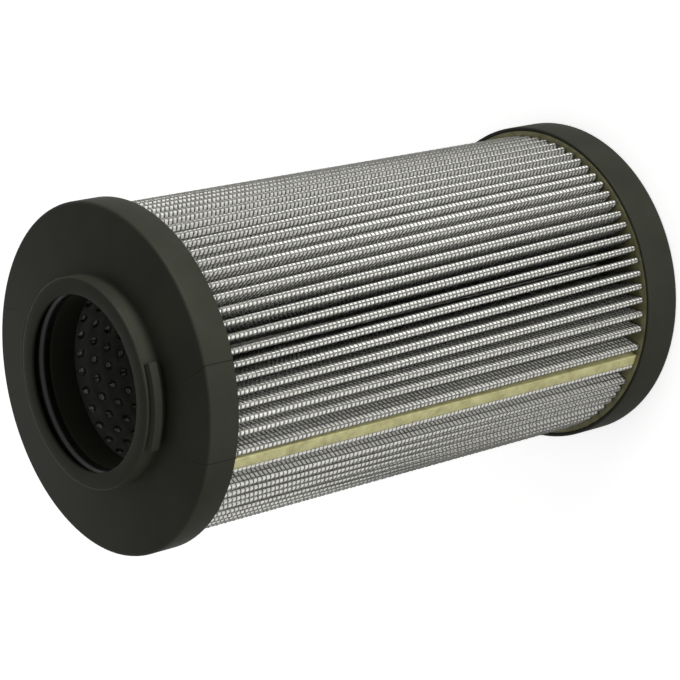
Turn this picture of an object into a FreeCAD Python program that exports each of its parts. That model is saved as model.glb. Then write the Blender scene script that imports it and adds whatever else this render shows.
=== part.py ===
"""Hydraulic return-line filter element, millimetres, +Z up.

The element stands on its closed end cap.  The origin is the centre of that cap's base, and +Z runs
along the axis to the collar of the open end cap.  The adhesive side seam is just below +X.
"""
import FreeCAD, Part
import math
import os
import Sketcher

doc = FreeCAD.newDocument("filter_element")

# Driving sizes
SIZES = {
    "cap_radius": 47.0,
    "flange_height": 170.0,
    "cap_plate": 3.0,
    "rim_wall": 1.2,
    "edge_chamfer": 0.6,
    "skirt_depth": 9.2,
    "rim_height": 12.0,
    "bore_radius": 23.5,
    "collar_height": 5.5,
    "groove_wall": 1.35,
    "mouth_chamfer": 0.4,
    "neck_depth": 8.2,
    "neck_wall": 1.0,
    "locator_height": 6.0,
    "locator_wall": 2.0,
    "groove_lip": 0.9,
    "groove_width": 5.1,
    "ring_cord": 3.53,
    "ring_standout": 0.2,
    "ring_clearance": 0.02,
    "ring_side_gap": 0.12,
    "lug_reach": 2.2,
    "lug_height": 2.5,
    "lug_setback": 0.9,
    "lug_sweep": 45.0,
    "lug_root": 0.6,
    "tube_wall": 0.9,
    "tube_clearance": 0.1,
    "hole_width": 2.9,
    "hole_columns": 30,
    "hole_rings": 2,
    "ring_pitch": 4.4,
    "first_ring_depth": 11.0,
    "tip_inset": 1.3,
    "tip_clearance": 0.15,
    "pleat_folds": 74,
    "tip_slack": 0.1,
    "root_slack": 0.12,
    "seat_clearance": 0.1,
    "outer_mesh_thickness": 0.3,
    "media_thickness": 0.35,
    "inner_mesh_thickness": 0.2,
    "wide_fold_spacing": 7.6,
    "closing_fold_spacing": 8.9,
    "pleat_lean": 5.7,
    "lean_onset": 2.7,
    "seam_angle": -19.7,
    "seam_width": 3.7,
    "seam_recess": 0.1,
    "potting_bed": 2.0,
    "potting_recess": 0.4,
}
sheet = doc.addObject("Spreadsheet::Sheet", "sizes")
for row, (alias, value) in enumerate(SIZES.items(), start=1):
    sheet.set("A%d" % row, alias)
    sheet.set("B%d" % row, str(value))
    sheet.setAlias("B%d" % row, alias)
doc.recompute()

# Heights and radii that several pieces share, as expressions of the driving sizes
COLLAR_FACE = "sizes.flange_height + sizes.collar_height"
PLATE_UNDERSIDE = "sizes.flange_height - sizes.cap_plate"
SKIRT_EDGE = "sizes.flange_height - sizes.skirt_depth"
NECK_END = "sizes.flange_height - sizes.neck_depth"
NECK_RADIUS = "sizes.bore_radius + sizes.neck_wall"
RIM_INSIDE = "sizes.cap_radius - sizes.rim_wall"
GROOVE_TOP = "sizes.flange_height + sizes.collar_height - sizes.groove_lip"
GROOVE_FOOT = GROOVE_TOP + " - sizes.groove_width"
GROOVE_RADIUS = "sizes.bore_radius - sizes.ring_standout + sizes.ring_cord + sizes.ring_clearance"
COLLAR_RADIUS = GROOVE_RADIUS + " + sizes.groove_wall"
LUG_TOP = "sizes.flange_height + sizes.collar_height - sizes.lug_setback"
TUBE_BORE = "sizes.bore_radius + sizes.neck_wall + sizes.tube_clearance"
TUBE_RADIUS = TUBE_BORE + " + sizes.tube_wall"
TUBE_LENGTH = "sizes.flange_height - 2 * sizes.cap_plate"
POTTING_BORE = RIM_INSIDE + " - sizes.tip_inset + sizes.tip_clearance"


def origin_plane(body, role):
    """One of a body's own origin planes, such as XZ_Plane."""
    return next(f for f in body.Origin.OriginFeatures if f.Role == role)


def new_body(label):
    body = doc.addObject("PartDesign::Body", label)
    body.Label = label
    return body


def profile(body, name, corners, role="XZ_Plane"):
    """Closed straight-sided outline on an origin plane, each corner a pair of size expressions."""
    sketch = body.newObject("Sketcher::SketchObject", name)
    sketch.AttachmentSupport = (origin_plane(body, role), [""])
    sketch.MapMode = "FlatFace"
    count = len(corners)
    start = [FreeCAD.Vector(2 + math.cos(2 * math.pi * i / count), 2 + math.sin(2 * math.pi * i / count), 0)
             for i in range(count)]
    for i in range(count):
        sketch.addGeometry(Part.LineSegment(start[i], start[(i + 1) % count]), False)
    for i in range(count):
        sketch.addConstraint(Sketcher.Constraint("Coincident", i, 2, (i + 1) % count, 1))
    for i, (across, up) in enumerate(corners):
        for kind, expression, axis in (("DistanceX", across, -2), ("DistanceY", up, -1)):
            if expression == "0":
                sketch.addConstraint(Sketcher.Constraint("PointOnObject", i, 1, axis))
            else:
                index = sketch.addConstraint(Sketcher.Constraint(kind, -1, 1, i, 1, 1.0))
                sketch.setExpression("Constraints[%d]" % index, expression)
    return sketch


def turned(body, name, corners, angle="360"):
    """Solid of revolution about Z from an outline of (radius, height) corners."""
    sketch = profile(body, name + "_profile", corners)
    spin = body.newObject("PartDesign::Revolution", name)
    spin.Profile = sketch
    spin.ReferenceAxis = (sketch, ["V_Axis"])
    spin.setExpression("Angle", angle)
    spin.Midplane = True
    doc.recompute()
    return spin


# Open end cap: moulded nylon cup with a collar, an O-ring groove, a neck for the core tube and two lugs
open_cap = new_body("open_end_cap")
turned(open_cap, "open_cap_form", [
    ("sizes.cap_radius", SKIRT_EDGE),
    ("sizes.cap_radius", "sizes.flange_height - sizes.edge_chamfer"),
    ("sizes.cap_radius - sizes.edge_chamfer", "sizes.flange_height"),
    (COLLAR_RADIUS, "sizes.flange_height"),
    (COLLAR_RADIUS, COLLAR_FACE),
    ("sizes.bore_radius + sizes.mouth_chamfer", COLLAR_FACE),
    ("sizes.bore_radius", COLLAR_FACE + " - sizes.mouth_chamfer"),
    ("sizes.bore_radius", GROOVE_TOP),
    (GROOVE_RADIUS, GROOVE_TOP),
    (GROOVE_RADIUS, GROOVE_FOOT),
    ("sizes.bore_radius", GROOVE_FOOT),
    ("sizes.bore_radius", NECK_END),
    (NECK_RADIUS, NECK_END),
    (NECK_RADIUS, PLATE_UNDERSIDE),
    (RIM_INSIDE, PLATE_UNDERSIDE),
    (RIM_INSIDE, SKIRT_EDGE),
])
lug = turned(open_cap, "bayonet_lug", [
    (COLLAR_RADIUS + " - sizes.lug_root", LUG_TOP + " - sizes.lug_height"),
    (COLLAR_RADIUS + " + sizes.lug_reach", LUG_TOP + " - sizes.lug_height"),
    (COLLAR_RADIUS + " + sizes.lug_reach", LUG_TOP),
    (COLLAR_RADIUS + " - sizes.lug_root", LUG_TOP),
], angle="sizes.lug_sweep")
lugs = open_cap.newObject("PartDesign::PolarPattern", "bayonet_lugs")
lugs.Originals = [lug]
lugs.Axis = (next(f for f in open_cap.Origin.OriginFeatures if f.Role == "Z_Axis"), [""])
lugs.Angle = 360
lugs.Occurrences = 2
open_cap.Tip = lugs
doc.recompute()

# Closed end cap: moulded nylon cup with a plain base and a low ring that centres the core tube
closed_cap = new_body("closed_end_cap")
closed_cap.Tip = turned(closed_cap, "closed_cap_form", [
    ("0", "0"),
    ("sizes.cap_radius - sizes.edge_chamfer", "0"),
    ("sizes.cap_radius", "sizes.edge_chamfer"),
    ("sizes.cap_radius", "sizes.rim_height"),
    (RIM_INSIDE, "sizes.rim_height"),
    (RIM_INSIDE, "sizes.cap_plate"),
    (NECK_RADIUS, "sizes.cap_plate"),
    (NECK_RADIUS, "sizes.cap_plate + sizes.locator_height"),
    (NECK_RADIUS + " - sizes.locator_wall", "sizes.cap_plate + sizes.locator_height"),
    (NECK_RADIUS + " - sizes.locator_wall", "sizes.cap_plate"),
    ("0", "sizes.cap_plate"),
])

# O-ring that seals the bore on the filter head's spigot: an eight-sided section, lying against the
# inner side of its groove
ring = new_body("bore_o_ring")
RING_OUTSIDE = "sizes.bore_radius - sizes.ring_standout + sizes.ring_cord"
RING_INSIDE = "sizes.bore_radius - sizes.ring_standout"
RING_FOOT = GROOVE_FOOT + " + sizes.ring_side_gap"
RING_TOP = RING_FOOT + " + sizes.ring_cord"
RING_CORNER = "sizes.ring_cord * (1 - tan(22.5)) / 2"
ring.Tip = turned(ring, "o_ring_form", [
    (RING_OUTSIDE, RING_FOOT + " + " + RING_CORNER),
    (RING_OUTSIDE, RING_TOP + " - " + RING_CORNER),
    (RING_OUTSIDE + " - " + RING_CORNER, RING_TOP),
    (RING_INSIDE + " + " + RING_CORNER, RING_TOP),
    (RING_INSIDE, RING_TOP + " - " + RING_CORNER),
    (RING_INSIDE, RING_FOOT + " + " + RING_CORNER),
    (RING_INSIDE + " + " + RING_CORNER, RING_FOOT),
    (RING_OUTSIDE + " - " + RING_CORNER, RING_FOOT),
])

# Perforated core tube that carries the pleats against the inward flow, between the plates of the caps.
# Its wall has two flats to each column of holes, so that a hole lies within one flat.
FLATS = "2 * sizes.hole_columns"
HALF_FLAT = "180deg / (2 * sizes.hole_columns)"


def tube_prism(label, radius):
    """Prism of the tube's flats, between the plates of the caps, with a flat centred on +X."""
    prism = doc.addObject("Part::Prism", label)
    prism.setExpression("Polygon", FLATS)
    prism.setExpression("Circumradius", radius)
    prism.setExpression("Height", TUBE_LENGTH)
    prism.setExpression("Placement.Base.z", "sizes.cap_plate")
    prism.setExpression("Placement.Rotation.Angle", HALF_FLAT)
    return prism


tube_wall = doc.addObject("Part::Cut", "tube_wall")
tube_wall.Base = tube_prism("tube_outside", TUBE_RADIUS)
tube_wall.Tool = tube_prism("tube_inside", "(" + TUBE_BORE + ") / cos(" + HALF_FLAT + ")")

# Hexagonal drills for the rings of holes next to the neck, each ring turned by half a hole spacing
tube_radius = sheet.bore_radius + sheet.neck_wall + sheet.tube_clearance + sheet.tube_wall
hole_half = sheet.hole_width / 2
columns = int(sheet.hole_columns)
drill_outline = [FreeCAD.Vector(0, hole_half * math.sin(math.radians(60 * side)),
                                hole_half * math.cos(math.radians(60 * side))) for side in range(7)]
drill = Part.Face(Part.makePolygon(drill_outline)).extrude(FreeCAD.Vector(tube_radius, 0, 0))
drills = []
for level in range(int(sheet.hole_rings)):
    height = sheet.flange_height - sheet.first_ring_depth - level * sheet.ring_pitch
    for column in range(columns):
        turn = (column + level % 2 / 2) * 360 / columns
        bit = drill.copy()
        bit.translate(FreeCAD.Vector(sheet.bore_radius / 2, 0, height))
        bit.rotate(FreeCAD.Vector(0, 0, 0), FreeCAD.Vector(0, 0, 1), turn)
        drills.append(bit)
hole_drills = doc.addObject("Part::Feature", "hole_drills")
hole_drills.Shape = Part.makeCompound(drills)

core = doc.addObject("Part::Cut", "core_tube")
core.Label = "core_tube"
core.Base = tube_wall
core.Tool = hole_drills


def face_line(angle, distance):
    """Straight face seen along Z: the polar angle of its outward normal, and its distance."""
    return (math.cos(angle), math.sin(angle), distance)


def crossing(first, second):
    """Point where two face lines meet."""
    a, b, c = first
    d, e, f = second
    det = a * e - b * d
    return FreeCAD.Vector((c * e - b * f) / det, (a * f - c * d) / det, 0)


def sunk(line, depth):
    """The same face, moved inwards by a depth."""
    return (line[0], line[1], line[2] - depth)


# Folded stack: every sheet keeps its thickness round each fold, so all of them are offsets of one outline
stack = sheet.outer_mesh_thickness + sheet.media_thickness + sheet.inner_mesh_thickness
tip_radius = sheet.cap_radius - sheet.rim_wall - sheet.tip_inset
root_radius = tube_radius + sheet.seat_clearance + stack
tip_half = stack + sheet.tip_slack / 2
root_half = stack + sheet.root_slack / 2
flank_lean = math.atan((tip_half - root_half) / (tip_radius - root_radius))
folds = int(sheet.pleat_folds)
seam = math.radians(sheet.seam_angle)
half_strip = sheet.seam_width / 2 / tip_radius
half_tip = tip_half / tip_radius
wide = math.radians(sheet.wide_fold_spacing)
closing = math.radians(sheet.closing_fold_spacing)
first_fold = seam + half_strip + half_tip
end_leg = seam + 2 * math.pi - half_strip - stack / tip_radius
end_fold = end_leg + half_tip
spacing = (end_fold - first_fold - wide - closing) / (folds - 2)
head_angles = [first_fold] + [first_fold + wide + i * spacing for i in range(folds - 1)] + [end_fold]


def lean(fold):
    """Angle from a fold's head to its foot: none at the seam, most a few folds past it, then fading."""
    onset = 1 - math.exp(-fold / sheet.lean_onset)
    return math.radians(sheet.pleat_lean) * onset * (1 - (fold / folds) ** 2)


foot_angles = [head + lean(fold) for fold, head in enumerate(head_angles)]


def flank(angle, side):
    """Outer face of one leg of the fold at an angle; side is +1 or -1."""
    reach = root_half * math.cos(flank_lean) - root_radius * math.sin(flank_lean)
    return face_line(angle + side * (math.pi / 2 + flank_lean), reach)


def stack_line(angles, depth):
    """Corners of the folded stack at a depth below its outer face, for the angles of its folds."""
    path = [face_line(angles[0], root_radius - stack)]
    for angle, following in zip(angles, angles[1:]):
        path.append(sunk(flank(angle, -1), depth))
        path.append(sunk(face_line(angle, tip_radius), depth))
        path.append(sunk(flank(angle, 1), depth))
        path.append(sunk(face_line((angle + following) / 2, root_radius), depth))
    path.append(sunk(flank(angles[-1], -1), depth))
    path.append(face_line(angles[-1], tip_radius))
    return [crossing(a, b) for a, b in zip(path, path[1:])]


pleat_foot = sheet.cap_plate + sheet.potting_bed
pleat_head = sheet.flange_height - pleat_foot


def standing(label, foot, head):
    """Solid between the two potting beds, whose outline turns a little between its foot and its head.

    Each outline is a pair of corner chains, the outer and the inner side.  A leaning wall is creased once,
    along its diagonal, so that it is flat on either side of the crease.
    """
    foot = [[corner + FreeCAD.Vector(0, 0, pleat_foot) for corner in side] for side in foot]
    head = [[corner + FreeCAD.Vector(0, 0, pleat_head) for corner in side] for side in head]
    facets = [foot[0] + foot[1][::-1], head[0] + head[1][::-1]]
    for low, high in zip(foot, head):
        for a, b, c, d in zip(low, low[1:], high[1:], high):
            facets.append([a, b, c])
            facets.append([a, c, d])
    for end in (0, -1):
        facets.append([foot[0][end], foot[1][end], head[1][end]])
        facets.append([foot[0][end], head[1][end], head[0][end]])
    shell = Part.makeShell([Part.Face(Part.makePolygon(facet + facet[:1])) for facet in facets])
    shell.sewShape()
    piece = doc.addObject("Part::Feature", label)
    piece.Label = label
    piece.Shape = Part.makeSolid(shell)
    return piece


# The sheets of the stack, from outside in: wire cloth, glass-fibre filter media, wire cloth
sheets = []
depth = 0.0
for label, thickness in (("outer_wire_mesh", sheet.outer_mesh_thickness),
                         ("filter_media", sheet.media_thickness),
                         ("inner_wire_mesh", sheet.inner_mesh_thickness)):
    outside = depth
    depth += thickness
    sheets.append(standing(label, [stack_line(foot_angles, outside), stack_line(foot_angles, depth)],
                           [stack_line(head_angles, outside), stack_line(head_angles, depth)]))

# Adhesive side seam, between the outer face of one end of the stack and the inner face of the other
strip_top = face_line(seam, tip_radius - sheet.seam_recess)
strip_root = face_line(seam, root_radius - stack)
near_leg = flank(first_fold, -1)
far_leg = sunk(flank(end_fold, -1), stack)
strip = [[crossing(far_leg, strip_top), crossing(near_leg, strip_top)],
         [crossing(far_leg, strip_root), crossing(near_leg, strip_root)]]
seam_strip = standing("side_seam", strip, strip)

# Potting of each end: an adhesive bed under the pleats, with a rim round their tips
POTTING_INSIDE = TUBE_RADIUS + " + sizes.seat_clearance"
potting = []
for label, plate, inward, edge in (
        ("closed_end_potting", "sizes.cap_plate", " + ", "sizes.rim_height - sizes.potting_recess"),
        ("open_end_potting", PLATE_UNDERSIDE, " - ", SKIRT_EDGE + " + sizes.potting_recess")):
    bed = plate + inward + "sizes.potting_bed"
    body = new_body(label)
    body.Tip = turned(body, label + "_form", [
        (POTTING_INSIDE, plate),
        (RIM_INSIDE, plate),
        (RIM_INSIDE, edge),
        (POTTING_BORE, edge),
        (POTTING_BORE, bed),
        (POTTING_INSIDE, bed),
    ])
    potting.append(body)

doc.recompute()

pieces = [open_cap, closed_cap, ring, core] + sheets + [seam_strip] + potting
for item in doc.Objects:
    if "Invalid" in item.State or "Error" in item.State:
        raise RuntimeError("%s did not build: %s" % (item.Name, item.State))
for piece in pieces:
    if piece.Shape.isNull() or not piece.Shape.isValid() or piece.Shape.Volume <= 0:
        raise RuntimeError("%s has no sound solid" % piece.Label)

os.makedirs("parts", exist_ok=True)
for piece in pieces:
    piece.Shape.exportStep("parts/%s.step" % piece.Label)
    print("%-22s %d solid  %9.1f mm3" % (piece.Label, len(piece.Shape.Solids), piece.Shape.Volume))
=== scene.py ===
import math
import random
import bmesh
import bpy
import numpy as np
from mathutils import Matrix, Vector


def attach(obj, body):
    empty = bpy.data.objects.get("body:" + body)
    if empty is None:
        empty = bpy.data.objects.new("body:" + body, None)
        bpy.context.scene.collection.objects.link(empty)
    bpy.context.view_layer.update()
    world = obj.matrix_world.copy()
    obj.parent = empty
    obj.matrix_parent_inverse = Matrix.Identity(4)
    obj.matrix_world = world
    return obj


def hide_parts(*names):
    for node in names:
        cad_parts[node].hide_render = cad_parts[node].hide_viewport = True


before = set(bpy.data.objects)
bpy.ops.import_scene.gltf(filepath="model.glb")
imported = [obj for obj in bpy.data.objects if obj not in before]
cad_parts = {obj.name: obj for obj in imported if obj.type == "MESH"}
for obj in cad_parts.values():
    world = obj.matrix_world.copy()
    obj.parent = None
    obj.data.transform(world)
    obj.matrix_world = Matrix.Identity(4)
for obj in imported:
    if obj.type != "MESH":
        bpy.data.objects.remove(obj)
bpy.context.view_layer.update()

# The photographer's view: the element is seen over its open end cap from one side, through a long lens,
# and the camera is rolled so that the element, which stands here, lies across the picture.
FLANGE_CENTRE = Vector((0, 0, 0.170))
CAMERA_REACH = Vector((0.50614, 0.18147, 0.34893))
CAMERA_BACK = Vector((0.7335, 0.2687, 0.6244))
CAMERA_RIGHT = Vector((0.6482, 0.0, -0.7615))
LENS_MM = 129.9
SENSOR_MM = 36

camera_back = CAMERA_BACK.normalized()
camera_up = camera_back.cross(CAMERA_RIGHT).normalized()
camera_right = camera_up.cross(camera_back)
camera_data = bpy.data.cameras.new("camera")
camera_data.lens = LENS_MM
camera_data.sensor_width = SENSOR_MM
camera = bpy.data.objects.new("camera", camera_data)
bpy.context.scene.collection.objects.link(camera)
turn = Matrix((camera_right, camera_up, camera_back)).transposed().to_4x4()
camera.matrix_world = Matrix.Translation(FLANGE_CENTRE + CAMERA_REACH) @ turn
bpy.context.scene.camera = camera
bpy.context.scene.view_settings.view_transform = "Standard"

# Studio light: a long low panel on the +Y side, above the picture's top edge, a softer one beside the
# camera, the light that the table throws back from below the picture, and a panel behind the element
# for its hidden side, all in a white room.
OBJECT_CENTRE = Vector((0, 0, 0.09))
PANEL_HEIGHT = 0.16
ROOM_FILL = 0.36
ROOM_WHITE = 1.0


def light_panel(name, place, width, power):
    data = bpy.data.lights.new(name, "AREA")
    data.shape = "RECTANGLE"
    data.size = width
    data.size_y = PANEL_HEIGHT
    data.energy = power
    panel = bpy.data.objects.new(name, data)
    bpy.context.scene.collection.objects.link(panel)
    panel.location = place
    panel.rotation_euler = (OBJECT_CENTRE - Vector(place)).to_track_quat("-Z", "Y").to_euler()
    return panel


def combine(tree, operation, first, second=None, third=None):
    """Output of a math node, whose inputs are numbers or the outputs of other nodes."""
    node = tree.nodes.new("ShaderNodeMath")
    node.operation = operation
    for socket, value in zip(node.inputs, (first, second, third)):
        if isinstance(value, (int, float)):
            socket.default_value = value
        elif value is not None:
            tree.links.new(value, socket)
    return node.outputs[0]


light_panel("key_panel", (0.40, 1.17, 0.085), 0.8, 15.5)
light_panel("side_panel", (1.13, 0.25, 0.085), 0.8, 6)
light_panel("table_bounce", (0.95, -0.66, 0.085), 1.0, 3)
back_panel = light_panel("back_panel", (-1.13, -0.41, 0.085), 1.0, 8)
# the flange would mirror this panel along its edge
back_panel.visible_glossy = False

# the camera and all reflections see a plain white room, which lights the element less than it looks
world = bpy.data.worlds.new("white_room")
bpy.context.scene.world = world
world.use_nodes = True
tree = world.node_tree
tree.nodes.clear()
rays = tree.nodes.new("ShaderNodeLightPath")
seen = combine(tree, "MAXIMUM", rays.outputs["Is Camera Ray"], rays.outputs["Is Glossy Ray"])
seen = combine(tree, "MAXIMUM", seen, rays.outputs["Is Transmission Ray"])
mix = tree.nodes.new("ShaderNodeMixShader")
tree.links.new(seen, mix.inputs["Fac"])
for socket, strength in ((mix.inputs[1], ROOM_FILL), (mix.inputs[2], ROOM_WHITE)):
    walls = tree.nodes.new("ShaderNodeBackground")
    walls.inputs["Color"].default_value = (1, 1, 1, 1)
    walls.inputs["Strength"].default_value = strength
    tree.links.new(walls.outputs[0], socket)
output = tree.nodes.new("ShaderNodeOutputWorld")
tree.links.new(mix.outputs[0], output.inputs["Surface"])

# Plain white floor under the closed end cap, which keeps the element's soft shadow. Its paint is matt, and
# the camera sees it lifted to the white of the photo's ground.
FLOOR_HALF = 4.0
FLOOR_PAINT = (0.85, 0.85, 0.85, 1)
FLOOR_LIFT = 0.66

bm = bmesh.new()
bmesh.ops.create_grid(bm, x_segments=1, y_segments=1, size=FLOOR_HALF)
mesh = bpy.data.meshes.new("floor")
bm.to_mesh(mesh)
bm.free()
floor = bpy.data.objects.new("floor", mesh)
bpy.context.scene.collection.objects.link(floor)
paint = bpy.data.materials.new("floor_white")
paint.use_nodes = True
tree = paint.node_tree
tree.nodes.clear()
matt = tree.nodes.new("ShaderNodeBsdfDiffuse")
matt.inputs["Color"].default_value = FLOOR_PAINT
glow = tree.nodes.new("ShaderNodeEmission")
glow.inputs["Color"].default_value = (1, 1, 1, 1)
rays = tree.nodes.new("ShaderNodeLightPath")
lift = combine(tree, "MULTIPLY", rays.outputs["Is Camera Ray"], FLOOR_LIFT)
tree.links.new(lift, glow.inputs["Strength"])
total = tree.nodes.new("ShaderNodeAddShader")
tree.links.new(matt.outputs[0], total.inputs[0])
tree.links.new(glow.outputs[0], total.inputs[1])
output = tree.nodes.new("ShaderNodeOutputMaterial")
tree.links.new(total.outputs[0], output.inputs["Surface"])
floor.data.materials.append(paint)

# Closed end cap: black glass-filled nylon, moulded in one piece. A flat plate with a low rim holds the
# potting, and a ring on the inside of the plate locates the core tube.
AXIS = (0, 0, 1)
AROUND = 128
MERGE_DISTANCE = 1e-7
CAP_RADIUS = 0.047
CAP_PLATE = 0.003
RIM_HEIGHT = 0.012
RIM_WALL = 0.0012
RIM_INNER = CAP_RADIUS - RIM_WALL
LOCATOR_RADIUS = 0.0245
LOCATOR_WALL = 0.002
LOCATOR_INNER = LOCATOR_RADIUS - LOCATOR_WALL
LOCATOR_HEIGHT = 0.006
LOCATOR_TOP = CAP_PLATE + LOCATOR_HEIGHT


def start_material(name):
    material = bpy.data.materials.new(name)
    material.use_nodes = True
    tree = material.node_tree
    place = tree.nodes.new("ShaderNodeTexCoord")
    return material, tree, tree.nodes["Principled BSDF"], place.outputs["Object"]


def mottle(tree, place, scale, detail=3.0, roughness=0.55):
    noise = tree.nodes.new("ShaderNodeTexNoise")
    noise.inputs["Scale"].default_value = scale
    noise.inputs["Detail"].default_value = detail
    noise.inputs["Roughness"].default_value = roughness
    tree.links.new(place, noise.inputs["Vector"])
    return noise.outputs["Fac"]


def shades(tree, factor, *stops):
    ramp = tree.nodes.new("ShaderNodeValToRGB")
    ramp.color_ramp.elements[0].position = stops[0][0]
    ramp.color_ramp.elements[1].position = stops[-1][0]
    for where, _ in stops[1:-1]:
        ramp.color_ramp.elements.new(where)
    for element, (where, colour) in zip(ramp.color_ramp.elements, stops):
        element.color = (*colour, 1)
    tree.links.new(factor, ramp.inputs["Fac"])
    return ramp.outputs["Color"]


def between(tree, factor, low, high):
    fit = tree.nodes.new("ShaderNodeMapRange")
    fit.inputs["To Min"].default_value = low
    fit.inputs["To Max"].default_value = high
    tree.links.new(factor, fit.inputs["Value"])
    return fit.outputs["Result"]


def overlaid(tree, share, tone, colour):
    """Lays a plain colour over a tone by a share of 0 to 1."""
    mix = tree.nodes.new("ShaderNodeMix")
    mix.data_type = "RGBA"
    tree.links.new(share, mix.inputs["Factor"])
    tree.links.new(tone, mix.inputs["A"])
    mix.inputs["B"].default_value = (*colour, 1)
    return mix.outputs["Result"]


def relief(tree, shader, height, depth, strength):
    bump = tree.nodes.new("ShaderNodeBump")
    bump.inputs["Distance"].default_value = depth
    bump.inputs["Strength"].default_value = strength
    tree.links.new(height, bump.inputs["Height"])
    tree.links.new(bump.outputs["Normal"], shader.inputs["Normal"])


def coordinates(tree, place):
    split = tree.nodes.new("ShaderNodeSeparateXYZ")
    tree.links.new(place, split.inputs[0])
    return split.outputs["X"], split.outputs["Y"], split.outputs["Z"]


def from_axis(tree, x, y):
    """Distance of a point from the element's axis."""
    return combine(tree, "SQRT", combine(tree, "MULTIPLY_ADD", y, y, combine(tree, "MULTIPLY", x, x)))


def finished(bm, name, material, slot, *stands_for, sharp=40):
    mesh = bpy.data.meshes.new(name)
    bm.to_mesh(mesh)
    bm.free()
    mesh.shade_smooth()
    mesh.set_sharp_from_angle(angle=math.radians(sharp))
    mesh.materials.append(material)
    piece = bpy.data.objects.new(name, mesh)
    bpy.context.scene.collection.objects.link(piece)
    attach(piece, "root")
    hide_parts(*stands_for)


def rounded(bm, parts, size, segments, affect="EDGES"):
    bmesh.ops.bevel(bm, geom=parts, offset=size, segments=segments, profile=0.5, affect=affect, material=-1)


def turned(bm, angle, axis="Z"):
    bmesh.ops.rotate(bm, verts=bm.verts[:], cent=(0, 0, 0), matrix=Matrix.Rotation(angle, 3, axis))


def spun(bm, steps=AROUND, arc=2 * math.pi):
    """Sweeps an outline about the axis into a closed body."""
    whole = arc >= 2 * math.pi
    bmesh.ops.spin(bm, geom=bm.verts[:] + bm.edges[:], cent=(0, 0, 0), axis=AXIS,
                   angle=arc, steps=steps, use_merge=whole)
    if not whole:
        bmesh.ops.holes_fill(bm, edges=bm.edges[:], sides=0)
    bmesh.ops.remove_doubles(bm, verts=bm.verts[:], dist=MERGE_DISTANCE)
    bmesh.ops.recalc_face_normals(bm, faces=bm.faces[:])


def lathed(bm, outline, rounds=(), steps=AROUND, arc=2 * math.pi, start=0.0):
    """Turns a closed outline of (radius, height) points about the axis, with its corners rounded."""
    corners = [bm.verts.new((radius, 0, height)) for radius, height in outline]
    for pair in zip(corners, corners[1:] + corners[:1]):
        bm.edges.new(pair)
    by_size = {}
    for corner, size in zip(corners, rounds):
        if size:
            by_size.setdefault(size, []).append(corner)
    for size, group in by_size.items():
        rounded(bm, group, size, 3, "VERTICES")
    turned(bm, start)
    spun(bm, steps, arc)


# fine weld lines, where the streams of plastic met in the mould, run down the open cap's skirt at four
# angles, bend off over its flange and fade there. The angles are in degrees, the bend in radians for each
# metre inwards from the rim, and the fade's slope for each metre too.
WELD_LINES = (-14.4, 17, 167, -161)
WELD_BEND = 8.0
WELD_NARROWNESS = 220.0
WELD_END_RADIUS = 0.036875
WELD_FADE = 160.0
WELD_FOOT = 0.16
WELD_SHADE = 0.75
WELD_DEPTH = 2.5

nylon, tree, shader, place = start_material("black_nylon")
cloud = mottle(tree, place, 60)
tone = shades(tree, cloud, (0.3, (0.0230, 0.0237, 0.0180)), (0.7, (0.0300, 0.0309, 0.0235)))
tree.links.new(between(tree, cloud, 0.36, 0.48), shader.inputs["Roughness"])
shader.inputs["Specular IOR Level"].default_value = 0.04
shader.inputs["Specular Tint"].default_value = (1.0, 1.0, 0.86, 1)
x, y, z = coordinates(tree, place)
radius = from_axis(tree, x, y)
bend = combine(tree, "MULTIPLY_ADD", radius, -WELD_BEND, WELD_BEND * CAP_RADIUS)
around = combine(tree, "ADD", combine(tree, "ARCTAN2", y, x), bend)
weld = 0.0
for angle in WELD_LINES:
    off = combine(tree, "ABSOLUTE", combine(tree, "SUBTRACT", around, math.radians(angle)))
    weld = combine(tree, "MAXIMUM", combine(tree, "MULTIPLY_ADD", off, -WELD_NARROWNESS, 1.0), weld)
fade = combine(tree, "MULTIPLY_ADD", radius, WELD_FADE, -WELD_FADE * WELD_END_RADIUS)
fade = combine(tree, "MINIMUM", combine(tree, "MAXIMUM", fade, 0.0), 1.0)
weld = combine(tree, "MULTIPLY", weld, fade)
weld = combine(tree, "MULTIPLY", weld, combine(tree, "GREATER_THAN", z, WELD_FOOT))
tone = overlaid(tree, combine(tree, "MULTIPLY", weld, WELD_SHADE), tone, (0.002, 0.002, 0.002))
tree.links.new(tone, shader.inputs["Base Color"])
skin = combine(tree, "MULTIPLY_ADD", weld, -WELD_DEPTH, mottle(tree, place, 1400, 2.0))
relief(tree, shader, skin, 0.00004, 0.5)

bm = bmesh.new()
closed_outline = (
    (0, 0), (CAP_RADIUS, 0), (CAP_RADIUS, RIM_HEIGHT), (RIM_INNER, RIM_HEIGHT), (RIM_INNER, CAP_PLATE),
    (LOCATOR_RADIUS, CAP_PLATE), (LOCATOR_RADIUS, LOCATOR_TOP), (LOCATOR_INNER, LOCATOR_TOP),
    (LOCATOR_INNER, CAP_PLATE), (0, CAP_PLATE),
)
closed_rounds = (0, 0.0009, 0.0004, 0.0004, 0, 0, 0.0003, 0.0003, 0, 0)
lathed(bm, closed_outline, closed_rounds)
finished(bm, "closed_cap", nylon, "cap_nylon", "closed_end_cap")

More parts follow.
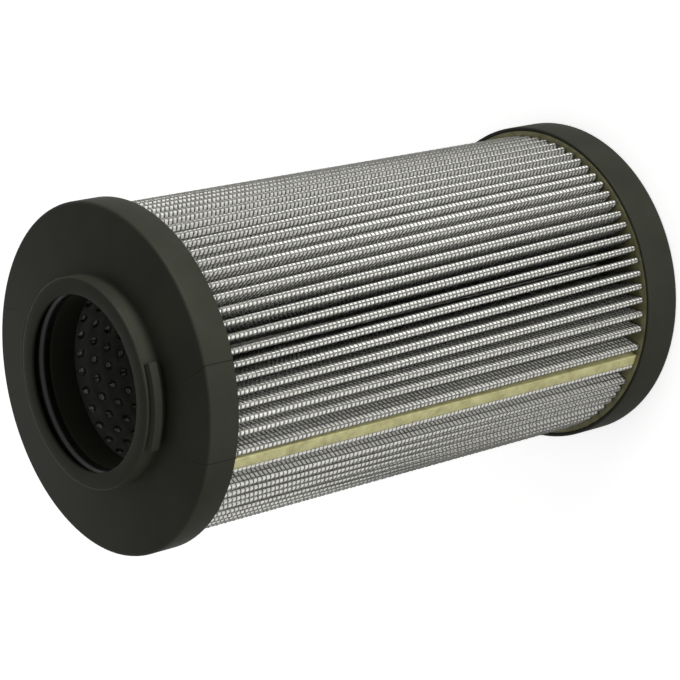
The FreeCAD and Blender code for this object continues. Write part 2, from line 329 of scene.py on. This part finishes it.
# Core tube: thin zinc-plated steel sheet, punched all over with staggered rows of round holes and rolled
# into a tube. It carries the pleated stack against the inward flow.
TUBE_RADIUS = 0.0255
TUBE_WALL = 0.0009
TUBE_FOOT = 0.0031
TUBE_HEAD = 0.1669
HOLE_RADIUS = 0.0010
HOLE_CORNERS = 14
BORDER_CORNERS = 8
HOLE_COLUMNS = 30
RIM_DRAW = 0.00045
FIRST_ROW = 0.159
ROW_PITCH = 0.0044
SHEET_MERGE = 1e-5
NEARLY_ZERO = 1e-6
WALL_TOLERANCE = 0.00002
SHARP_TURN = 1
# width over which the painted shade of the holes sets in, outwards from the tube's inner face
HOLE_SHADE_EDGE = 0.0001


def snapped(distance, half):
    """Half a cell's side on the same side as a distance, or 0 where that is nearly 0."""
    return half * (abs(distance) > NEARLY_ZERO) * math.copysign(1, distance)


def faced_outwards(bm):
    outermost = max(bm.faces, key=lambda face: face.calc_center_median().xy.length)
    if outermost.normal.dot(outermost.calc_center_median()) < 0:
        bmesh.ops.reverse_faces(bm, faces=bm.faces[:])


column_width = 2 * math.pi * TUBE_RADIUS / HOLE_COLUMNS
row_count = int((FIRST_ROW - TUBE_FOOT - ROW_PITCH) / ROW_PITCH) + 1
bm = bmesh.new()
for row in range(row_count):
    middle = FIRST_ROW - row * ROW_PITCH
    shift = 0.5 * (row % 2)
    # a cell of the sheet: a round hole whose ring of faces ends in a rectangle
    cell = bmesh.new()
    bmesh.ops.create_circle(cell, cap_ends=False, radius=HOLE_RADIUS, segments=HOLE_CORNERS)
    border = bmesh.ops.create_circle(cell, cap_ends=False, radius=ROW_PITCH, segments=BORDER_CORNERS)
    for corner in border["verts"]:
        corner.co.x = snapped(corner.co.x, column_width / 2)
        corner.co.y = snapped(corner.co.y, ROW_PITCH / 2)
    bmesh.ops.bridge_loops(cell, edges=cell.edges[:])
    bmesh.ops.translate(cell, verts=cell.verts[:], vec=(shift * column_width, middle, 0))
    pattern = bpy.data.meshes.new("punched_row")
    cell.to_mesh(pattern)
    cell.free()
    for column in range(HOLE_COLUMNS):
        bm.from_mesh(pattern)
        pattern.transform(Matrix.Translation((column_width, 0, 0)))
    bpy.data.meshes.remove(pattern)
# plain margins above and below the punched rows
head_margin = (FIRST_ROW + ROW_PITCH / 2, TUBE_HEAD, 0.0)
foot_margin = (TUBE_FOOT, FIRST_ROW - (row_count - 0.5) * ROW_PITCH, 0.5 * ((row_count - 1) % 2))
for low, high, shift in (head_margin, foot_margin):
    for column in range(2 * HOLE_COLUMNS):
        left = (column / 2 - 0.5 + shift) * column_width
        right = left + column_width / 2
        corners = ((left, low), (right, low), (right, high), (left, high))
        bm.faces.new([bm.verts.new((across, height, 0)) for across, height in corners])
# the flat sheet is rolled up
for corner in bm.verts:
    turn_by = corner.co.x / TUBE_RADIUS
    corner.co = Vector((TUBE_RADIUS * math.cos(turn_by), TUBE_RADIUS * math.sin(turn_by), corner.co.y))
bmesh.ops.remove_doubles(bm, verts=bm.verts[:], dist=SHEET_MERGE)
bmesh.ops.recalc_face_normals(bm, faces=bm.faces[:])
faced_outwards(bm)
bmesh.ops.solidify(bm, geom=bm.faces[:], thickness=TUBE_WALL)
# the punch has drawn in the inner rim of each hole
inner_radius = TUBE_RADIUS - TUBE_WALL + WALL_TOLERANCE
rims = []
for edge in bm.edges:
    first, second = edge.verts
    inside = max(first.co.xy.length, second.co.xy.length) < inner_radius
    if inside and edge.calc_face_angle(0) > SHARP_TURN and TUBE_FOOT < first.co.z < TUBE_HEAD:
        rims.append(edge)
rounded(bm, rims, RIM_DRAW, 2)

# painted shade: from just outside the tube's inner face outwards, and so on the walls of the holes, the
# steel is painted near black
steel, tree, shader, place = start_material("zinc_plated_steel")
spangle = mottle(tree, place, 220)
tone = shades(tree, spangle, (0.3, (0.14, 0.147, 0.129)), (0.7, (0.19, 0.199, 0.177)))
x, y = coordinates(tree, place)[:2]
# painted shade of the holes: a mask that rises from the tube's inner face outwards
hole_shade = tree.nodes.new("ShaderNodeMapRange")
hole_shade.inputs["From Min"].default_value = inner_radius
hole_shade.inputs["From Max"].default_value = inner_radius + HOLE_SHADE_EDGE
tree.links.new(from_axis(tree, x, y), hole_shade.inputs["Value"])
tone = overlaid(tree, hole_shade.outputs[0], tone, (0.035, 0.036, 0.031))
tree.links.new(tone, shader.inputs["Base Color"])
tree.links.new(between(tree, spangle, 0.30, 0.48), shader.inputs["Roughness"])
shader.inputs["Metallic"].default_value = 0.3
relief(tree, shader, mottle(tree, place, 900), 0.00003, 0.4)
finished(bm, "punched_core_tube", steel, "tube_steel", "core_tube", sharp=30)

# Pleated stack: an outer wire cloth, a glass fibre mat and a fine inner wire mesh are laid together and
# folded as one. The pleats lean a little round the tube, and stand wider apart on both sides of the seam.
STACK_FOOT = 0.005
STACK_HEAD = 0.165
STACK_HEIGHT = STACK_HEAD - STACK_FOOT
TIP_RADIUS = 0.0445
TIP_HALF = 0.00084
TIP_BULGE = 0.00022
TIP_ROUND = 0.00075
TIP_ZONE = 0.002
LEVELS = 8
ROOT_RADIUS = 0.02645
ROOT_HALF = 0.00091
# Angles are in degrees. The fold by the seam has its own, at its foot and its head. The others are spaced
# evenly at their heads and then shifted, by pairs of a fold's number and its shift with straight lines
# between them. They lean from head to foot, more from the first fold on and less towards the last.
FOLDS = 74
BY_SEAM = (-14.5, -15.85)
FOLD_START = -13.25
FOLD_STEP = 4.69
CROWDING = ((1, 0), (16, -0.6), (31, 0), (62, 0), (70, 2.25), (73, 0), (74, 0))
LEAN = 5.7
LEAN_ONSET = 2.7
FOLD_JITTER = 0.12
# the last leg has no fold: it ends at the seam, just past the middle of a tip
END_LEG = -22.8
END_REACH = 0.0005


def fold_angles(height):
    """Angles of the pleats' middles at a share of the stack's height, from its foot (0) to its head (1)."""
    angles = [BY_SEAM[0] + (BY_SEAM[1] - BY_SEAM[0]) * height]
    jitter = random.Random(5)
    for fold in range(1, FOLDS):
        head = FOLD_START + FOLD_STEP * fold
        for (before, shift), (after, next_shift) in zip(CROWDING, CROWDING[1:]):
            if before <= fold < after:
                head += shift + (next_shift - shift) * (fold - before) / (after - before)
        lean = LEAN * (1 - math.exp(-fold / LEAN_ONSET)) * (1 - (fold / FOLDS) ** 2)
        angles.append(head + lean * (1 - height) + jitter.uniform(-FOLD_JITTER, FOLD_JITTER))
    return angles


def tip_half(height):
    """Half the width of a pleat's tip, which swells between the two potted ends."""
    return TIP_HALF + TIP_BULGE * math.sin(math.pi * height)


def fold_line(depth, height):
    """Corners of the folded sheet at a depth under the stack's outer face, at a share of its height."""
    points = []
    level = STACK_FOOT + STACK_HEIGHT * height
    root, tip = ROOT_RADIUS - depth, TIP_RADIUS - depth
    root_half, half = ROOT_HALF - depth, tip_half(height) - depth
    for middle in fold_angles(height):
        turn_by = Matrix.Rotation(math.radians(middle), 3, "Z")
        for radius, side in ((root, -root_half), (tip, -half), (tip, half), (root, root_half)):
            points.append(turn_by @ Vector((radius, side, level)))
    turn_by = Matrix.Rotation(math.radians(END_LEG), 3, "Z")
    for radius, side in ((root, -root_half), (tip, -half), (tip, END_REACH)):
        points.append(turn_by @ Vector((radius, side, level)))
    return points


def folded_sheet(depth, thickness):
    """A sheet drawn up level by level, rounded along the pleats' tips and then thickened inwards."""
    bm = bmesh.new()
    row = [bm.verts.new(point) for point in fold_line(depth, 0)]
    chain = [bm.edges.new(pair) for pair in zip(row, row[1:])]
    for step in range(1, LEVELS + 1):
        places = dict(zip(row, fold_line(depth, step / LEVELS)))
        lifted = bmesh.ops.extrude_edge_only(bm, edges=chain)["geom"]
        chain = [part for part in lifted if isinstance(part, bmesh.types.BMEdge)]
        above = {}
        for vertex in (part for part in lifted if isinstance(part, bmesh.types.BMVert)):
            neighbours = [edge.other_vert(vertex) for edge in vertex.link_edges]
            below = next(neighbour for neighbour in neighbours if neighbour in places)
            above[below] = vertex
            vertex.co = places[below]
        row = [above[vertex] for vertex in row]
    tips = []
    for edge in bm.edges:
        first, second = edge.verts
        upright = abs(first.co.z - second.co.z) > STACK_HEIGHT / LEVELS / 2
        if upright and first.co.xy.length > TIP_RADIUS - TIP_ZONE and len(edge.link_faces) == 2:
            tips.append(edge)
    rounded(bm, tips, TIP_ROUND - depth, 4)
    faced_outwards(bm)
    bmesh.ops.solidify(bm, geom=bm.faces[:], thickness=thickness)
    return bm


# inner wire mesh: fine bright steel cloth, folded with the mat and lying against the core tube, where it is
# seen through the tube's holes
INNER_DEPTH = 0.00050
INNER_WALL = 0.00016
FINE_PITCH = 0.00045
FINE_LIFT = 0.3
FINE_ROUNDNESS = 1.6


def plain_weave(tree, place):
    """Height of a plain weave: two sets of wires, each over and under the other in turn.

    On the flanks of the pleats, one set is spaced with the height and the other away from the axis.
    """
    x, y, z = coordinates(tree, place)
    out = from_axis(tree, x, y)
    pace = math.pi / FINE_PITCH
    waves = []
    for along, across, lift in ((z, out, FINE_LIFT), (out, z, -FINE_LIFT)):
        side = combine(tree, "SINE", combine(tree, "MULTIPLY", along, pace))
        rise = combine(tree, "COSINE", combine(tree, "MULTIPLY", across, pace))
        wire = combine(tree, "POWER", combine(tree, "ABSOLUTE", side), FINE_ROUNDNESS)
        waves.append(combine(tree, "MULTIPLY_ADD", combine(tree, "MULTIPLY", side, rise), lift, wire))
    return combine(tree, "MAXIMUM", *waves)


fine_wire, tree, shader, place = start_material("fine_steel_mesh")
weave = plain_weave(tree, place)
tone = shades(tree, weave, (0.25, (0.25, 0.25, 0.23)), (0.95, (0.90, 0.90, 0.86)))
tree.links.new(tone, shader.inputs["Base Color"])
shader.inputs["Metallic"].default_value = 0.3
shader.inputs["Roughness"].default_value = 0.5
relief(tree, shader, weave, 0.00012, 0.8)
finished(folded_sheet(INNER_DEPTH, INNER_WALL), "inner_mesh", fine_wire, "inner_wire", "inner_wire_mesh")

# filter mat: white glass fibre felt between the two meshes, which swells a little into the openings of the
# outer cloth
MAT_DEPTH = 0.00025
MAT_WALL = 0.00024
SWELL_ROUNDNESS = 0.6
FIBRE_HEIGHT = 0.15
INCH = 0.0254
WIRE_PITCH = INCH / 18
CROSS_PITCH = INCH / 14

felt, tree, shader, place = start_material("glass_fibre_felt")
fibres = mottle(tree, place, 1500, 4.0)
tone = shades(tree, fibres, (0.3, (0.62, 0.615, 0.575)), (0.7, (0.70, 0.695, 0.65)))
tree.links.new(tone, shader.inputs["Base Color"])
shader.inputs["Roughness"].default_value = 0.85
shader.inputs["Specular IOR Level"].default_value = 0.3
z = coordinates(tree, place)[2]
pace = math.pi / WIRE_PITCH
climb = combine(tree, "MULTIPLY_ADD", z, pace, math.pi / 2 - STACK_FOOT * pace)
swell = combine(tree, "POWER", combine(tree, "ABSOLUTE", combine(tree, "SINE", climb)), SWELL_ROUNDNESS)
height = combine(tree, "MULTIPLY_ADD", fibres, FIBRE_HEIGHT, swell)
relief(tree, shader, height, 0.00012, 0.6)
finished(folded_sheet(MAT_DEPTH, MAT_WALL), "fibre_mat", felt, "glass_fibre", "filter_media")

# outer cloth: steel wire with a dark coating, 18 to the inch up the element and 14 to the inch along the
# folded length. Each wire that goes over the pleats passes over and under the upright ones in turn.
WIRE_DEPTH = 0.00016
WIRE_SWAY = 0.00006
WIRE_RISE = 0.00015
WIRE_SOLE = -0.6 * WIRE_RISE
WIRE_HALF_WIDTH = 0.00031
LOWER_HALF_WIDTH = 0.00025
WIDTH_SPREAD = (0.92, 1.08)
LEVEL_JITTER = 0.00004
UPRIGHT_HALF = 0.00019
UPRIGHT_PLACES = range(-11, 11)
UPRIGHT_DRIFT = 0.006
TIP_BEND = TIP_ROUND - WIRE_DEPTH
TIP_REACH = 0.0014
TIP_STEPS = 12
FLANK_STEPS = 4
PLEATS_PER_PIECE = 15
# Lengths from the middle of a pleat's tip at which a wire's course is fixed, down both legs of the pleat.
# On the last one, beside the seam, the cloth ends just past the tip.
STATIONS = (0.0001, 0.0004, 0.0007, 0.00103, 0.0019, 0.0037, 0.0175)
END_STATIONS = (0.0001, 0.0008)
first_leg = tuple(-length for length in reversed(STATIONS))
both_legs = first_leg + STATIONS
one_leg = first_leg + END_STATIONS
# Where an upright wire lies, from the middle of a pleat's tip. The pairs give it for the pleats up to a
# number, with a steady level above which the wires drift across the pleat, and the last two values give it
# for all pleats after these and for the last leg.
REGISTER = ((2, 0.0005), (4, 0.00025), (8, 0.0), (10, -0.00015), (12, -0.0004), (37, -0.00065))
STEADY_LEVEL = 0.098
LOWER_REGISTER = 0.00042
END_REGISTER = -0.0009
rng = random.Random(5)


def on_fold(along, level):
    """Place and outward direction on a pleat, at a length from the middle of its tip, at a level."""
    flat_half = tip_half((level - STACK_FOOT) / STACK_HEIGHT) - TIP_ROUND
    side = math.copysign(1, along)
    length = abs(along)
    bend = min(max((length - flat_half) / TIP_BEND, 0), math.pi / 2)
    straight = max(length - flat_half - TIP_BEND * math.pi / 2, 0)
    across = min(length, flat_half) + TIP_BEND * math.sin(bend)
    across += straight * (ROOT_HALF - WIRE_DEPTH - across) / (TIP_RADIUS - ROOT_RADIUS)
    radius = TIP_RADIUS - WIRE_DEPTH - TIP_BEND * (1 - math.cos(bend)) - straight
    return Vector((radius, side * across, level)), Vector((math.cos(bend), side * math.sin(bend), 0))


def wire_frame(spot, outward, second):
    """Frame of a wire's section at a spot: outwards, across the wire and along it."""
    axes = Matrix((outward, second, outward.cross(second))).transposed().to_4x4()
    return Matrix.Translation(spot) @ axes


def swept(frames, outline):
    """A closed bar whose section is carried from frame to frame."""
    bm = bmesh.new()
    face = bm.faces.new([bm.verts.new(frames[0] @ Vector((a, b, 0))) for a, b in outline])
    for before, after in zip(frames, frames[1:]):
        face = bmesh.ops.extrude_discrete_faces(bm, faces=[face])["faces"][0]
        bmesh.ops.transform(bm, matrix=after @ before.inverted(), verts=face.verts)
    bmesh.ops.holes_fill(bm, edges=bm.edges[:], sides=3)
    bmesh.ops.recalc_face_normals(bm, faces=bm.faces[:])
    return bm


def into(target, part):
    mesh = bpy.data.meshes.new("part")
    part.to_mesh(mesh)
    part.free()
    target.from_mesh(mesh)
    bpy.data.meshes.remove(mesh)


def wires_of_fold(first_crossing, drift, steady, stations, half_width):
    """All wires of one pleat that stands at angle 0.

    Its upright wires drift across it above a steady level.
    """
    bm = bmesh.new()
    upward = Vector((0, 0, 1))
    for k in range(int(STACK_HEIGHT / WIRE_PITCH)):
        level = STACK_FOOT + (k + 0.5) * WIRE_PITCH + rng.uniform(-LEVEL_JITTER, LEVEL_JITTER)
        crossing = first_crossing + drift * max(level - steady, 0)
        frames = []
        for along in stations:
            spot, outward = on_fold(along, level)
            sway = math.cos(math.pi * (along - crossing) / CROSS_PITCH) * (-1) ** k
            frames.append(wire_frame(spot + outward * WIRE_SWAY * sway, outward, upward))
        width = half_width * rng.uniform(*WIDTH_SPREAD)
        into(bm, swept(frames, ((WIRE_SOLE, -width), (WIRE_SOLE, width), (WIRE_RISE, 0))))
    bar = ((-UPRIGHT_HALF, 0), (UPRIGHT_HALF / 2, UPRIGHT_HALF), (UPRIGHT_HALF / 2, -UPRIGHT_HALF))
    reach = drift * (STACK_HEAD - steady)
    for step in UPRIGHT_PLACES:
        centre = first_crossing + step * CROSS_PITCH
        if not stations[0] <= centre <= stations[-1] - reach:
            continue
        bends = TIP_STEPS if -TIP_REACH - reach < centre < TIP_REACH else FLANK_STEPS
        frames = []
        for bend in range(bends + 1):
            level = STACK_FOOT + STACK_HEIGHT * bend / bends
            spot, outward = on_fold(centre + drift * max(level - steady, 0), level)
            frames.append(wire_frame(spot, outward, upward.cross(outward)))
        into(bm, swept(frames, bar))
    mesh = bpy.data.meshes.new("wires_of_fold")
    bm.to_mesh(mesh)
    bm.free()
    return mesh


def turned_copy(mesh, foot, head):
    """Copy of a pleat's wires, turned about the element's axis to the angles of its foot and its head."""
    copy = mesh.copy()
    points = np.empty(3 * len(copy.vertices))
    copy.vertices.foreach_get("co", points)
    x, y, z = points.reshape(-1, 3).T
    turn = np.radians(foot + (head - foot) * (z - STACK_FOOT) / STACK_HEIGHT)
    points = np.stack((x * np.cos(turn) - y * np.sin(turn), x * np.sin(turn) + y * np.cos(turn), z), axis=1)
    copy.vertices.foreach_set("co", points.ravel())
    return copy


coating, tree, shader, place = start_material("coated_steel_wire")
wear = mottle(tree, place, 420)
tone = shades(tree, wear, (0.3, (0.16, 0.16, 0.146)), (0.7, (0.21, 0.21, 0.192)))
tree.links.new(tone, shader.inputs["Base Color"])
tree.links.new(between(tree, wear, 0.38, 0.52), shader.inputs["Roughness"])
shader.inputs["Metallic"].default_value = 0.3

upper_folds = []
for last, crossing in REGISTER:
    wires = wires_of_fold(crossing, UPRIGHT_DRIFT, STEADY_LEVEL, both_legs, WIRE_HALF_WIDTH)
    upper_folds.append((last, wires))
lower_fold = wires_of_fold(LOWER_REGISTER, UPRIGHT_DRIFT, STACK_FOOT, both_legs, LOWER_HALF_WIDTH)
end_leg = wires_of_fold(END_REGISTER, 0.0, STACK_FOOT, one_leg, LOWER_HALF_WIDTH)

# the wires of fifteen pleats at a time make one piece
angles = list(zip(fold_angles(0), fold_angles(1)))
bundles = []
for number, (foot, head) in enumerate(angles + [(END_LEG, END_LEG)]):
    if number == len(angles):
        source = end_leg
    else:
        source = next((wires for last, wires in upper_folds if number <= last), lower_fold)
    if number % PLEATS_PER_PIECE == 0:
        bundles.append(bmesh.new())
    copy = turned_copy(source, foot, head)
    bundles[-1].from_mesh(copy)
    bpy.data.meshes.remove(copy)
for number, bundle in enumerate(bundles):
    finished(bundle, f"outer_wires_{number + 1}", coating, "outer_wire", "outer_wire_mesh", sharp=180)

# Side seam: a bead of epoxy adhesive, cast along the gap where the two edges of the stack meet, with its
# top wiped off level with the pleat tips.
SEAM_ANGLE = -19.72
SEAM_TOP = 0.04438
SEAM_HALF = 0.00162
SEAM_CROWN = 0.00008
SEAM_ROUND = 0.00025
SEAM_ROOT = 0.0258
SEAM_ROOT_HALF = 0.0009

seam_adhesive, tree, shader, place = start_material("seam_adhesive")
cloud = mottle(tree, place, 300, 5.0, 0.65)
dark, middle, light = (0.27, 0.25, 0.115), (0.37, 0.35, 0.165), (0.45, 0.43, 0.225)
tone = shades(tree, cloud, (0.32, dark), (0.5, middle), (0.68, light))
tree.links.new(tone, shader.inputs["Base Color"])
tree.links.new(between(tree, cloud, 0.42, 0.62), shader.inputs["Roughness"])
relief(tree, shader, cloud, 0.0003, 0.5)

bm = bmesh.new()
section = ((SEAM_ROOT, -SEAM_ROOT_HALF), (SEAM_TOP, -SEAM_HALF), (SEAM_TOP + SEAM_CROWN, 0.0),
           (SEAM_TOP, SEAM_HALF), (SEAM_ROOT, SEAM_ROOT_HALF))
bottom = bm.faces.new([bm.verts.new((radius, side, STACK_FOOT)) for radius, side in section])
lifted = bmesh.ops.extrude_face_region(bm, geom=[bottom])["geom"]
top = [part for part in lifted if isinstance(part, bmesh.types.BMVert)]
bmesh.ops.translate(bm, verts=top, vec=(0, 0, STACK_HEIGHT))
bmesh.ops.recalc_face_normals(bm, faces=bm.faces[:])
long_edges = [edge for edge in bm.edges if edge.calc_length() > STACK_HEIGHT / 2]
ridges = [edge for edge in long_edges if edge.verts[0].co.x > SEAM_TOP - SEAM_CROWN]
rounded(bm, ridges, SEAM_ROUND, 3)
turned(bm, math.radians(SEAM_ANGLE))
finished(bm, "seam_bead", seam_adhesive, "seam_adhesive", "side_seam")

# Potting: the same kind of adhesive, poured into each cap while the stack stood in it. It climbs a little
# up the rim and between the pleats.
POTTING_INNER = 0.0257
POTTING_OUTER = 0.0458
FOOT_LEVEL = 0.0114
HEAD_LEVEL = 0.1616
HEAD_PLATE = 0.167
# radius and height over its level of the potting's surface, from the rim inwards
FOOT_SURFACE = ((POTTING_OUTER, 0.0002), (0.0449, -0.0001), (0.0430, -0.0004), (POTTING_INNER, -0.0008))
HEAD_SURFACE = ((POTTING_OUTER, -0.0002), (0.0449, 0.0), (0.0430, 0.0004), (POTTING_INNER, 0.0008))

pot_adhesive, tree, shader, place = start_material("potting_adhesive")
cloud = mottle(tree, place, 260, 4.0, 0.6)
tone = shades(tree, cloud, (0.3, (0.19, 0.185, 0.090)), (0.7, (0.36, 0.345, 0.175)))
tree.links.new(tone, shader.inputs["Base Color"])
tree.links.new(between(tree, cloud, 0.35, 0.55), shader.inputs["Roughness"])
relief(tree, shader, cloud, 0.0002, 0.4)

for node, plate, level, surface in (("closed_end_potting", CAP_PLATE, FOOT_LEVEL, FOOT_SURFACE),
                                    ("open_end_potting", HEAD_PLATE, HEAD_LEVEL, HEAD_SURFACE)):
    outline = [(POTTING_INNER, plate), (POTTING_OUTER, plate)]
    outline += [(radius, level + rise) for radius, rise in surface]
    bm = bmesh.new()
    lathed(bm, outline)
    finished(bm, node + "_ring", pot_adhesive, "potting_adhesive", node)

# Open end cap: the same black nylon. A flange with a skirt holds the upper potting, a neck goes down into
# the core tube, and a raised collar carries the seal groove and two bayonet lugs.
FLANGE_TOP = 0.170
FLANGE_PLATE = 0.003
FLANGE_FOOT = FLANGE_TOP - FLANGE_PLATE
SKIRT_EDGE = 0.1608
BORE_RADIUS = 0.0235
COLLAR_TOP = 0.1755
COLLAR_RADIUS = 0.0282
GROOVE_FOOT = 0.1695
GROOVE_TOP = 0.1746
GROOVE_RADIUS = 0.02685
NECK_END = 0.1618
NECK_RADIUS = 0.0245
LUG_BITE = 0.0006
LUG_ROOT = COLLAR_RADIUS - LUG_BITE
LUG_REACH = 0.0304
LUG_FOOT = 0.1721
LUG_TOP = 0.1746
LUG_SWEEP = 45
LUG_STEPS = 16

open_outline = (
    (BORE_RADIUS, COLLAR_TOP), (COLLAR_RADIUS, COLLAR_TOP), (COLLAR_RADIUS, FLANGE_TOP),
    (CAP_RADIUS, FLANGE_TOP), (CAP_RADIUS, SKIRT_EDGE), (RIM_INNER, SKIRT_EDGE), (RIM_INNER, FLANGE_FOOT),
    (NECK_RADIUS, FLANGE_FOOT), (NECK_RADIUS, NECK_END), (BORE_RADIUS, NECK_END),
    (BORE_RADIUS, GROOVE_FOOT), (GROOVE_RADIUS, GROOVE_FOOT), (GROOVE_RADIUS, GROOVE_TOP),
    (BORE_RADIUS, GROOVE_TOP),
)
open_rounds = (0.0004, 0.0006, 0.0003, 0.0008, 0.0004, 0.0004, 0, 0, 0.0002, 0.0002, 0.0002, 0, 0, 0.0002)
bm = bmesh.new()
lathed(bm, open_outline, open_rounds)
lug_outline = ((LUG_ROOT, LUG_FOOT), (LUG_REACH, LUG_FOOT), (LUG_REACH, LUG_TOP), (LUG_ROOT, LUG_TOP))
lug_rounds = (0, 0.00025, 0.00025, 0)
for middle in (0, 180):
    lug = bmesh.new()
    start = math.radians(middle - LUG_SWEEP / 2)
    lathed(lug, lug_outline, lug_rounds, LUG_STEPS, math.radians(LUG_SWEEP), start)
    into(bm, lug)
finished(bm, "open_cap", nylon, "cap_nylon", "open_end_cap")

# O-ring: black rubber cord moulded as a ring, sprung into the groove of the collar. It seals the bore
# against the pipe that it is pushed on.
RING_CENTRE = 0.025065
RING_LEVEL = 0.171385
RING_HALF = 0.001765
RING_CORNERS = 24

rubber, tree, shader, place = start_material("seal_rubber")
bloom = mottle(tree, place, 500)
tone = shades(tree, bloom, (0.3, (0.006, 0.006, 0.0055)), (0.7, (0.010, 0.010, 0.009)))
tree.links.new(tone, shader.inputs["Base Color"])
tree.links.new(between(tree, bloom, 0.26, 0.34), shader.inputs["Roughness"])
shader.inputs["Specular IOR Level"].default_value = 0.3
relief(tree, shader, mottle(tree, place, 1800), 0.00002, 0.4)
bm = bmesh.new()
bmesh.ops.create_circle(bm, cap_ends=False, radius=RING_HALF, segments=RING_CORNERS)
turned(bm, math.pi / 2, "X")
bmesh.ops.translate(bm, verts=bm.verts[:], vec=(RING_CENTRE, 0, RING_LEVEL))
spun(bm)
finished(bm, "o_ring", rubber, "seal_rubber", "bore_o_ring", sharp=180)
